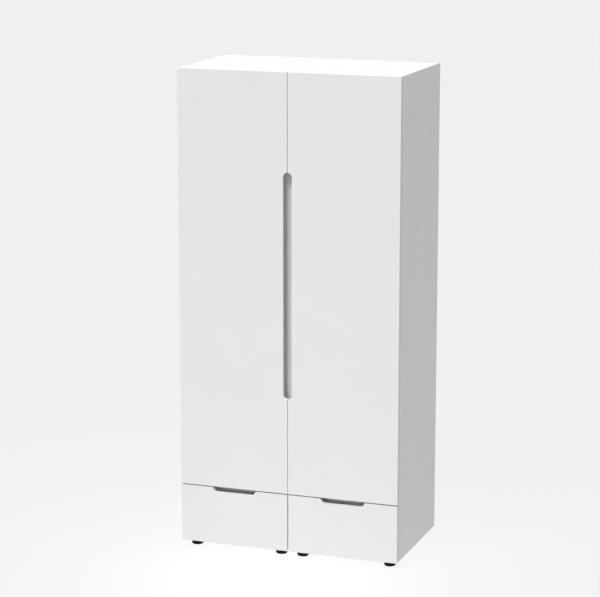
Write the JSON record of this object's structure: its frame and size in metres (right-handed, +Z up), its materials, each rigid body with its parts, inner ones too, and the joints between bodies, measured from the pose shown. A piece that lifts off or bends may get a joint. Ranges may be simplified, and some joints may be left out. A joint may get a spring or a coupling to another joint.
{
  "type": "wardrobe with doors",
  "caption": "Tall white board wardrobe with hinged doors sharing a long finger slot, notched drawers below and round black feet.",
  "frame": {"origin": "floor level, under the middle of the wardrobe's outer box", "axes": "+Z up; the doors and drawers face -Y; +X is to the right of a person facing the doors"},
  "size_m": [1, 0.57, 2.13],
  "materials": {
    "white_melamine": "satin",
    "white_hardboard": "satin",
    "black_plastic": "matte",
    "nickel_steel": "satin",
    "chrome_tube": "polished",
    "white_enamel": "satin"
  },
  "bodies": {
    "carcass": {"left_outer_side_panel": "white_melamine", "left_inner_side_panel": "white_melamine", "left_top_panel": "white_melamine", "left_bottom_panel": "white_melamine", "left_fixed_shelf": "white_melamine", "left_drawer_bay_rail": "white_melamine", "left_hat_shelf": "white_melamine", "left_back_panel": "white_hardboard", "left_hanging_rail": "chrome_tube", "left_front_inner_foot": "black_plastic", "left_front_outer_foot": "black_plastic", "left_rear_inner_foot": "black_plastic", "left_rear_outer_foot": "black_plastic", "left_inner_runner": "white_enamel", "left_outer_runner": "white_enamel", "left_low_hinge_arm": "nickel_steel", "left_middle_hinge_arm": "nickel_steel", "left_high_hinge_arm": "nickel_steel", "right_outer_side_panel": "white_melamine", "right_inner_side_panel": "white_melamine", "right_top_panel": "white_melamine", "right_bottom_panel": "white_melamine", "right_fixed_shelf": "white_melamine", "right_drawer_bay_rail": "white_melamine", "right_hat_shelf": "white_melamine", "right_back_panel": "white_hardboard", "right_hanging_rail": "chrome_tube", "right_front_inner_foot": "black_plastic", "right_front_outer_foot": "black_plastic", "right_rear_inner_foot": "black_plastic", "right_rear_outer_foot": "black_plastic", "right_inner_runner": "white_enamel", "right_outer_runner": "white_enamel", "right_low_hinge_arm": "nickel_steel", "right_middle_hinge_arm": "nickel_steel", "right_high_hinge_arm": "nickel_steel"},
    "left_door": {"left_door": "white_melamine", "left_low_hinge_cup": "nickel_steel", "left_middle_hinge_cup": "nickel_steel", "left_high_hinge_cup": "nickel_steel"},
    "left_hinge_links": {"left_low_hinge_link": "nickel_steel", "left_middle_hinge_link": "nickel_steel", "left_high_hinge_link": "nickel_steel"},
    "left_drawer": {"left_drawer_front": "white_melamine", "left_drawer_inner_side": "white_melamine", "left_drawer_outer_side": "white_melamine", "left_drawer_back": "white_melamine", "left_drawer_base": "white_hardboard"},
    "right_door": {"right_door": "white_melamine", "right_low_hinge_cup": "nickel_steel", "right_middle_hinge_cup": "nickel_steel", "right_high_hinge_cup": "nickel_steel"},
    "right_hinge_links": {"right_low_hinge_link": "nickel_steel", "right_middle_hinge_link": "nickel_steel", "right_high_hinge_link": "nickel_steel"},
    "right_drawer": {"right_drawer_front": "white_melamine", "right_drawer_inner_side": "white_melamine", "right_drawer_outer_side": "white_melamine", "right_drawer_back": "white_melamine", "right_drawer_base": "white_hardboard"}
  },
  "joints": [
    {"name": "left_door_swing", "type": "hinge", "parent": "carcass", "child": "left_door", "pos_m": [-0.4905, -0.285, 1.2105], "axis": [0, 0, -1], "range_deg": [0, 95]},
    {"name": "right_door_swing", "type": "hinge", "parent": "carcass", "child": "right_door", "pos_m": [0.4905, -0.285, 1.2105], "axis": [0, 0, 1], "range_deg": [0, 95]},
    {"name": "left_hinge_link_swing", "type": "hinge", "parent": "carcass", "child": "left_hinge_links", "pos_m": [-0.463, -0.2634, 1.2105], "axis": [0, 0, -1], "range_deg": [-32, 0]},
    {"name": "right_hinge_link_swing", "type": "hinge", "parent": "carcass", "child": "right_hinge_links", "pos_m": [0.463, -0.2634, 1.2105], "axis": [0, 0, 1], "range_deg": [-32, 0]},
    {"name": "left_drawer_slide", "type": "slide", "parent": "carcass", "child": "left_drawer", "axis": [0, -1, 0], "range_m": [0, 0.375]},
    {"name": "right_drawer_slide", "type": "slide", "parent": "carcass", "child": "right_drawer", "axis": [0, -1, 0], "range_m": [0, 0.375]}
  ],
  "couplings": [
    {"joint": "left_hinge_link_swing", "follows": "left_door_swing", "ratio": -0.3353},
    {"joint": "right_hinge_link_swing", "follows": "right_door_swing", "ratio": -0.3353}
  ]
}
